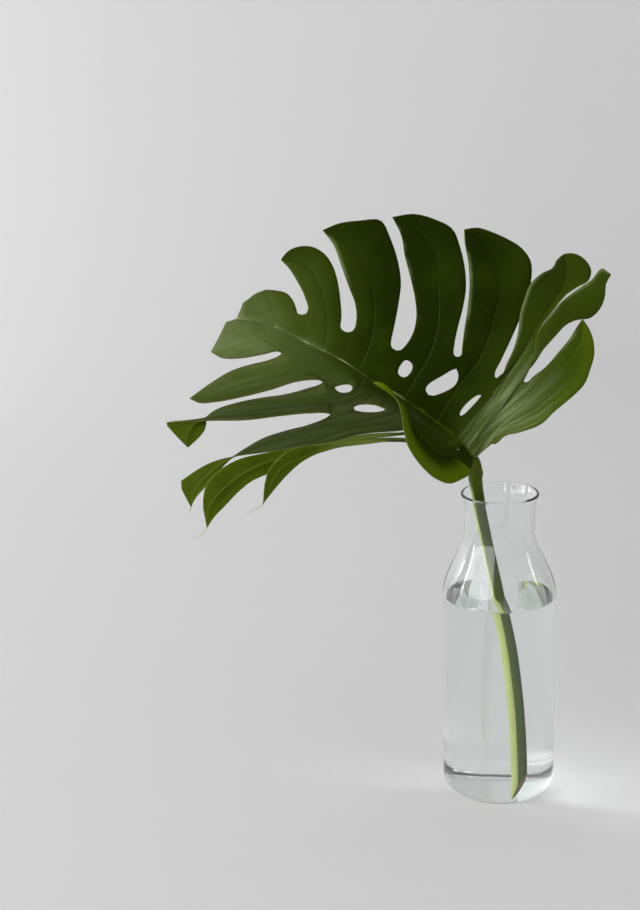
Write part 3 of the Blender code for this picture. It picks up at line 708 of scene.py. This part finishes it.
def leaf_upper():
    """Dark waxy green with thin pale veins and margin, and painted sheen that lightens both ends of the
    midrib.
    """
    r = Recipe("leaf upper side", Specular_IOR_Level=0.02, Coat_Roughness=0.36)
    beside_vein, along = r.chart("veins")
    from_vein = beside_vein.size()
    to_margin, to_tip = r.chart("margins")
    across_rib, rib_share = r.chart("ribs")
    from_rib = across_rib.size()
    near_half = across_rib.ramp(0.0, -4.0)
    flap = near_half * rib_share.ramp(0.925, 0.94)
    mottle = r.noise(26.0, 4.0)
    broad = r.noise(9.0, 2.0)
    fine = r.noise(420.0, 3.0)
    # Painted sheen: lighter towards both ends of the midrib and over the near half; the broad noise adds
    # random tone.
    light = rib_share.ramp(0.62, 0.02) + rib_share.ramp(0.8, 0.95) * 0.6
    light = light + near_half * 0.15 + (broad - 0.5) * 0.6
    base = r.blend(light.clipped(), rgb(26, 38, 0), rgb(68, 84, 18))
    base = r.blend(mottle.ramp(0.45, 0.75) * 0.3, base, rgb(52, 68, 4))
    cross = ((along - from_vein * 0.75) * 1.15 + (mottle - 0.5) * 9.0).sine()
    base = r.blend(cross.ramp(0.7, 1.0) * 0.035, base, rgb(74, 92, 36))
    plain = rib_share.ramp(0.2, 0.32)
    lengthwise = r.node("ShaderNodeCombineXYZ", {}, from_vein * 0.22, along * 0.016, rib_share * 5.0)
    streak = r.noise(1.0, 3.0, vector=lengthwise).ramp(0.4, 0.68)
    towards_tip = rib_share.ramp(0.42, 0.06)
    roots = rib_share.ramp(0.87, 0.95) * from_rib.ramp(110.0, 30.0) * (1 - near_half)
    low_roots = near_half * rib_share.ramp(0.76, 0.8)
    low_roots = low_roots * from_rib.ramp(120.0, 70.0) * from_rib.ramp(30.0, 55.0)
    beside_rib = from_rib.ramp(5.0, 1.5) * rib_share.ramp(0.46, 0.26)
    patches = mottle.ramp(0.4, 0.7)
    low_end = near_half * rib_share.ramp(0.32, 0.12) * to_tip.ramp(60.0, 20.0)
    away = from_rib.ramp(12.0, 40.0)
    # Painted highlight along the far lobes' tipward margins.
    lit_edge = (1 - near_half) * beside_vein.ramp(0.0, -5.0)
    lit_edge = lit_edge * to_margin.ramp(4.0, 0.6) * along.ramp(70.0, 100.0)
    # Painted sheen and highlights: towards the tip, on the near half, beside the midrib, at the lobes' roots
    # and on lit edges, kept off the folded lobe.
    painted_sheen = towards_tip * (0.05 + patches * 0.22) + near_half * away * (streak + 0.4) * 0.12 + low_end * 0.22
    painted_sheen = painted_sheen + beside_rib * 0.24 + roots * (streak * 0.8 + 0.2) + low_roots * 0.8
    painted_sheen = (painted_sheen + lit_edge * mottle.ramp(0.44, 0.6) * 0.5) * (1 - flap)
    base = r.blend(painted_sheen.clipped(), base, rgb(122, 136, 92))
    # Painted light shining through the lowest far lobe, yellow-green near its margin.
    low_band = (1 - near_half) * rib_share.ramp(0.978, 0.99) * to_margin.ramp(17.0, 5.0)
    base = r.blend(low_band * 0.5, base, rgb(76, 96, 6))
    vein_line = (1 - (from_vein / 0.42).clipped()) * to_tip.ramp(35.0, 140.0, 0.04, 1.0) * plain
    base = r.blend(vein_line.ramp(0.0, 0.8) * 0.5, base, rgb(82, 100, 36))
    stout = rib_share.ramp(0.5, 0.75)
    # Painted shadow: a dark line just below the midrib on the near half.
    painted_shadow_below_rib = near_half * from_rib.ramp(4.5, 1.0) * (1 - stout)
    base = r.blend(painted_shadow_below_rib * 0.6, base, rgb(20, 30, 0))
    rib_line = 1 - (from_rib / (1.2 + stout * (1.1 + near_half * 3.0))).clipped()
    rib_colour = r.blend(stout, rgb(140, 154, 96), rgb(66, 80, 14))
    base = r.blend(rib_line.ramp(0.0, 0.5) * 0.9, base, rib_colour)
    # The folded lobe is painted darker in its hollow as shade, and yellow-green towards its margin as light
    # shining through.
    rim = to_margin.ramp(20.0, 5.0)
    base = r.blend(flap, base, r.blend(rim, rgb(38, 50, 0), rgb(80, 100, 0)))
    base = r.blend((1 - to_margin.ramp(0.2, 0.9)) * 0.6, base, rgb(86, 100, 30))
    r.feed("Base Color", base)
    r.feed("Roughness", 0.42 + fine * 0.12)
    sheen = towards_tip * (patches * 0.3 + 0.1) + roots * streak * 0.4 + near_half * 0.12
    r.feed("Coat Weight", (sheen * (1 - flap)).clipped())
    valley = (1 - (from_vein / 1.6).clipped()) * plain
    r.relief(cross * 0.05 + fine * 0.16 - valley * 0.9 - rib_line * 0.8, 0.0006, 0.5)
    return r


def leaf_under():
    """Yellower, duller green, with raised light veins and a painted sheen on the near lobes' roots."""
    r = Recipe("leaf under side", Specular_IOR_Level=0.03)
    beside_vein, along = r.chart("veins")
    from_vein = beside_vein.size()
    to_margin, to_tip = r.chart("margins")
    across_rib, rib_share = r.chart("ribs")
    from_rib = across_rib.size()
    mottle = r.noise(30.0, 4.0)
    fine = r.noise(500.0, 2.0)
    base = r.blend(mottle.ramp(0.3, 0.7), rgb(52, 66, 6), rgb(68, 82, 12))
    base = r.blend((1 - to_margin.ramp(1.0, 9.0)) * 0.35, base, rgb(78, 98, 4))
    near_half = across_rib.ramp(0.0, -4.0)
    # Painted sheen on the near lobes' roots.
    low_roots = near_half * rib_share.ramp(0.74, 0.77)
    low_roots = low_roots * rib_share.ramp(0.95, 0.93) * from_rib.ramp(165.0, 110.0)
    base = r.blend(low_roots * 0.85, base, rgb(128, 144, 66))
    cross = ((along - from_vein * 0.75) * 1.15 + (mottle - 0.5) * 9.0).sine()
    base = r.blend(cross.ramp(0.8, 1.0) * 0.1, base, rgb(90, 108, 30))
    vein_line = (1 - (from_vein / 1.0).clipped()) * to_tip.ramp(4.0, 40.0, 0.3, 1.0)
    base = r.blend(vein_line.ramp(0.0, 0.7) * 0.4, base, rgb(98, 116, 40))
    rib_line = 1 - (from_rib / (1.4 + rib_share * 2.4)).clipped()
    base = r.blend(rib_line.ramp(0.0, 0.4) * 0.8, base, rgb(96, 112, 40))
    r.feed("Base Color", base)
    r.feed("Roughness", 0.5 + fine * 0.16)
    r.relief(cross * 0.12 + fine * 0.2, 0.0006, 0.5)
    return r


def leaf_margin():
    """The sheet's cut edge, yellower than its faces."""
    r = Recipe("leaf margin", Specular_IOR_Level=0.15)
    r.feed("Base Color", r.blend(r.noise(90.0).ramp(0.3, 0.7), rgb(76, 90, 22), rgb(100, 112, 40)))
    r.feed("Roughness", 0.5)
    return r


def dry_end():
    """Straw, for the dried points of lobes."""
    r = Recipe("dry end", 0.7)
    r.feed("Base Color", r.blend(r.noise(300.0), rgb(196, 194, 160), rgb(150, 148, 108)))
    return r


def stalk_skin():
    """Olive green with painted highlight on its left, painted shade on its right edge, lengthwise streaks and
    small specks.
    """
    r = Recipe("stalk skin", Specular_IOR_Level=0.08)
    leftness, _ = r.chart("skin")
    streaks = r.noise(160.0, 3.0, stretch=(1.0, 1.0, 0.05))
    specks = r.noise(900.0, 1.0)
    height = r.node("ShaderNodeSeparateXYZ", {}, r.place())
    height = Signal(r, height.socket.node.outputs[2])
    green = r.blend(height.ramp(0.15, 0.19), rgb(58, 78, 2), rgb(54, 66, 8))
    green = r.blend(height.ramp(0.268, 0.285), green, rgb(62, 73, 0))
    green = r.blend(streaks.ramp(0.4, 0.65) * 0.3, green, rgb(88, 100, 40))
    green = r.blend(specks.ramp(0.62, 0.72) * 0.25, green, rgb(150, 160, 100))
    # Painted highlight down the stalk's left side, wider under the water and stopping below the knuckle.
    edge = height.ramp(0.165, 0.18, 0.2, 0.72) + (streaks - 0.5) * 0.25
    painted_left_highlight = (leftness - edge).ramp(-0.04, 0.04) * height.ramp(0.285, 0.262)
    green = r.blend(painted_left_highlight * 0.9, green, rgb(160, 170, 104))
    # Painted shade on the stalk's right edge under the water.
    painted_right_shade = leftness.ramp(-0.7, -0.84) * height.ramp(0.2, 0.16)
    green = r.blend(painted_right_shade * 0.85, green, rgb(46, 50, 16))
    r.feed("Base Color", green)
    r.feed("Roughness", 0.4 + streaks * 0.12)
    r.relief(streaks + specks * 0.2, 0.0005, 0.5)
    return r


def stalk_cut():
    """Browned flesh with a lengthwise grain."""
    r = Recipe("stalk cut")
    grain = r.noise(700.0, 3.0, stretch=(1.0, 1.0, 0.3))
    r.feed("Base Color", r.blend(grain.ramp(0.35, 0.65), rgb(112, 92, 60), rgb(150, 134, 92)))
    r.feed("Roughness", 0.7)
    r.relief(grain, 0.0004, 0.6)
    return r


def clear_glass():
    """Colourless glass with a breath of green."""
    r = Recipe("clear glass", 0.0, IOR=1.46, Transmission_Weight=1.0, Base_Color=(0.975, 0.99, 0.985, 1.0))
    r.clear_to_lamps((0.985, 0.99, 0.99))
    return r


def clear_water():
    """Still water, clearer than the glass."""
    r = Recipe("clear water", 0.0, IOR=1.333, Transmission_Weight=1.0, Base_Color=(0.99, 0.997, 0.995, 1.0))
    r.clear_to_lamps((0.995, 0.998, 0.998))
    return r


# Pieces

def neck(radius, rim):
    """One face of the neck's profile: straight, then flared out to the rim's bead."""
    bends = [
        (radius, NECK_TOP - 6, 0),
        (radius, NECK_TOP, 0),
        (radius + 0.9, NECK_TOP + 7, 0),
        (rim, RIM_HEIGHT - 0.6, 0),
    ]
    return curve_at(bends, np.linspace(0, 1, 16))[:-1, :2]


def make_vase():
    """The carafe: its inner profile from the floor up, round the rim's bead, and its outer one down."""
    inside = BODY_RADIUS - WALL
    neck_inside = NECK_RADIUS - NECK_WALL
    corner = (inside - FLOOR_ROUNDING, FLOOR_THICKNESS + FLOOR_ROUNDING)
    profile = [
        (0.0, FLOOR_THICKNESS),
        *arc(corner, (FLOOR_ROUNDING, FLOOR_ROUNDING), -90, 0, 14),
        *shoulder(inside, neck_inside, 40),
        *neck(neck_inside, RIM_RADIUS - BEAD_RADIUS),
        *arc((RIM_RADIUS, RIM_HEIGHT), (BEAD_RADIUS, BEAD_RADIUS), 200, -20, 18),
        *neck(NECK_RADIUS, RIM_RADIUS + BEAD_RADIUS)[::-1],
        *reversed(shoulder(BODY_RADIUS, NECK_RADIUS, 40)),
        *arc((FOOT_RADIUS, FOOT_ROUNDING), (BODY_RADIUS - FOOT_RADIUS, FOOT_ROUNDING), 0, -90, 22),
        (0.0, 0.0),
    ]
    points, faces = turned(profile, TURNS)
    vase = piece("carafe", points, faces, [clear_glass()], "glass")
    outward(vase)
    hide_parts("glass_vase")


def make_water():
    """The water's solid, a little into the glass, with its surface drawn up the wall by exp(-distance)."""
    side = BODY_RADIUS - WALL + WATER_OVERLAP
    floor = FLOOR_THICKNESS - WATER_OVERLAP
    corner = (side - FLOOR_ROUNDING, floor + FLOOR_ROUNDING)
    inward = np.concatenate([[0.0], np.geomspace(0.3, side - 0.5, 26)])
    drawn_up = MENISCUS_RISE * np.exp(-np.maximum(inward - WATER_OVERLAP, 0) / MENISCUS_REACH)
    surface = np.stack([side - inward, WATER_LEVEL + drawn_up], axis=1)
    profile = [
        (0.0, WATER_LEVEL),
        *surface[::-1],
        *reversed(arc(corner, (FLOOR_ROUNDING, FLOOR_ROUNDING), -90, 0, 14)),
        (0.0, floor),
    ]
    points, faces = turned(profile, TURNS)
    water = piece("still_water", points, faces, [clear_water()], "water")
    outward(water)
    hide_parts("water")


def outward(obj):
    """Turns every face of a closed mesh outwards."""
    work = bmesh.new()
    work.from_mesh(obj.data)
    bmesh.ops.remove_doubles(work, verts=work.verts, dist=1e-6)
    bmesh.ops.recalc_face_normals(work, faces=work.faces)
    work.to_mesh(obj.data)
    work.free()
    obj.data.set_sharp_from_angle(angle=np.radians(CREASE_ANGLE))


def stalk_section(share, angle):
    """The stalk's radius factor: 0.97 plus low ridges round it, and bumps that fade from the knuckle."""
    ridges = 0.05 * np.cos(2 * (angle - 0.6)) + 0.02 * np.cos(5 * angle + 1.0)
    bumps = np.sin(150 * share + 2 * angle) * np.sin(61 * share - 3 * angle)
    knuckle = bumps * np.exp(-((share - 0.96) / 0.035) ** 2)
    return 0.97 + ridges + 0.07 * knuckle


def make_stalk():
    """The stalk's tube, cut off aslant by a plane at its foot and closed there by a flat face."""
    path = curve_at(STALK, np.linspace(0.0, 1.0, 260))
    points, faces, charts = tube(path, 40, stalk_section)
    stalk = piece("stalk", points, faces, [stalk_skin(), stalk_cut()], "stalk", charts=dict(skin=charts))
    work = bmesh.new()
    work.from_mesh(stalk.data)
    cut = bmesh.ops.bisect_plane(
        work,
        geom=work.verts[:] + work.edges[:] + work.faces[:],
        plane_co=Vector(CUT_POINT) * MM,
        plane_no=Vector(CUT_NORMAL),
        clear_outer=True,
    )
    rim = [item for item in cut["geom_cut"] if isinstance(item, bmesh.types.BMEdge)]
    cap = bmesh.ops.contextual_create(work, geom=rim)["faces"]
    for face in cap:
        face.material_index = 1
        face.smooth = False
    bmesh.ops.recalc_face_normals(work, faces=work.faces)
    work.to_mesh(stalk.data)
    work.free()
    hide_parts("leaf_stalk")


def make_blade():
    """The blade's upper face, thickened downwards: each point's weight is its thickness over the midrib's."""
    points, faces, thickness, charts = blade_surface()
    blade = piece("blade", points, faces, [leaf_upper(), leaf_under(), leaf_margin()], "blade", charts=charts)
    depth = blade.vertex_groups.new(name="thickness")
    for index, wanted in enumerate(thickness):
        depth.add([index], float(wanted / MIDRIB_THICKNESS), "REPLACE")
    work = bmesh.new()
    work.from_mesh(blade.data)
    bmesh.ops.remove_doubles(work, verts=work.verts, dist=0.00002)
    bmesh.ops.dissolve_degenerate(work, dist=0.00001, edges=work.edges)
    work.to_mesh(blade.data)
    work.free()
    shell = blade.modifiers.new("thickness", "SOLIDIFY")
    shell.thickness = MIDRIB_THICKNESS * MM
    shell.offset = -1.0
    shell.vertex_group = depth.name
    shell.material_offset = 1
    shell.material_offset_rim = 2
    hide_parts("leaf_blade")


def make_threads():
    """Dry hair-thin ends that curl down from the points of three hanging lobes."""
    for number, (lobe, bend) in enumerate(zip(NEAR_LOBES[3:6], THREAD_BENDS)):
        point = np.array(lobe["point"], float)
        way = [(*(point + (1, 0, 3)), 0.45), *[(*(point + step), 0.3) for step in bend[:-1]]]
        path = curve_at([*way, (*(point + bend[-1]), 0.12)], np.linspace(0.0, 1.0, 18))
        points, faces, _ = tube(path, 8, lambda share, angle: 1.0 + 0 * share * angle)
        piece(f"dry_thread_{number + 1}", points, faces, [dry_end()], "blade")


# Stage

CAMERA_PLACE = (-0.148, -1.1888, 0.624)
CAMERA_PITCH = 15.2
CAMERA_ROLL = -1.51
FOCAL_PIXELS = 1500.0
IMAGE_WIDTH = 640
SENSOR_WIDTH = 36.0
FLOOR_FLAT = 1700.0
FLOOR_EDGE = 4600.0
FLOOR_HIGH = 2800.0
FLOOR_SHADE = 206
SKY_STRENGTH = 0.56
BOUNCES = 32
# Each light's place, what it points at, its width and height, and its power
LIGHTS = {
    "key": ((-2.4, -1.7, 1.2), (0.0, 0.0, 0.25), (4.0, 3.2), 100.0),
    "left strip": ((-1.9, 0.05, 0.75), (0.0, 0.0, 0.2), (0.14, 1.2), 4.0),
    "right strip": ((1.5, -0.2, 0.9), (0.0, 0.0, 0.22), (0.14, 0.9), 2.2),
    "backdrop": ((-3.4, 1.6, 1.6), (-1.6, 4.4, 0.8), (1.4, 1.4), 108.0),
}


def make_camera():
    """A camera that looks along +Y, pitched down and rolled a little about its own line of sight."""
    pitch, roll = np.radians(CAMERA_PITCH), np.radians(CAMERA_ROLL)
    ahead = np.array([0.0, np.cos(pitch), -np.sin(pitch)])
    level = np.array([1.0, 0.0, 0.0])
    lifted = np.cross(level, ahead)
    right = level * np.cos(roll) + lifted * np.sin(roll)
    up = lifted * np.cos(roll) - level * np.sin(roll)
    data = bpy.data.cameras.new("camera")
    data.sensor_fit = "HORIZONTAL"
    data.sensor_width = SENSOR_WIDTH
    data.lens = SENSOR_WIDTH * FOCAL_PIXELS / IMAGE_WIDTH
    data.clip_end = 100.0
    camera = bpy.data.objects.new("camera", data)
    rows = np.stack([right, up, -ahead, CAMERA_PLACE], axis=1)
    camera.matrix_world = Matrix([*rows.tolist(), [0, 0, 0, 1]])
    bpy.context.scene.collection.objects.link(camera)
    bpy.context.scene.camera = camera


def soft_light(name, place, target, size, power):
    """An oval lamp that faces its target."""
    data = bpy.data.lights.new(name, "AREA")
    data.shape = "ELLIPSE"
    data.size, data.size_y = size
    data.energy = power
    lamp = bpy.data.objects.new(name, data)
    lamp.location = place
    lamp.rotation_euler = (Vector(target) - Vector(place)).to_track_quat("-Z", "Y").to_euler()
    bpy.context.scene.collection.objects.link(lamp)


def make_stage():
    """A pale floor, a hair below the carafe's foot, that sweeps up far away on all sides under an even sky.

    The sweep is a quarter ellipse: flat + (edge - flat) sin a outwards, and high (1 - cos a) upwards.
    """
    angles = np.linspace(0, np.pi / 2, 24)
    outwards = FLOOR_FLAT + (FLOOR_EDGE - FLOOR_FLAT) * np.sin(angles)
    sweep = np.stack([outwards, FLOOR_HIGH * (1 - np.cos(angles))], axis=1)
    points, faces = turned([(0.0, -FOOT_AIR), (400.0, -FOOT_AIR), *sweep, (0.0, FLOOR_HIGH)], 96)
    faces = [face for face in faces if len(points) - 1 not in face]
    paint = Recipe("pale floor", 0.8)
    paint.feed("Base Color", rgb(FLOOR_SHADE, FLOOR_SHADE, FLOOR_SHADE))
    floor = piece("floor", points[:-1], faces, [paint], None)
    world = bpy.data.worlds.new("sky")
    world.use_nodes = True
    sky = world.node_tree.nodes["Background"]
    sky.inputs["Color"].default_value = (1.0, 1.0, 1.0, 1.0)
    sky.inputs["Strength"].default_value = SKY_STRENGTH
    scene = bpy.context.scene
    scene.world = world
    for name, settings in LIGHTS.items():
        soft_light(name, *settings)
    scene.view_settings.view_transform = "Standard"
    scene.cycles.max_bounces = BOUNCES
    scene.cycles.transmission_bounces = BOUNCES
    scene.cycles.transparent_max_bounces = BOUNCES


make_vase()
make_water()
make_stalk()
make_blade()
make_threads()
make_camera()
make_stage()
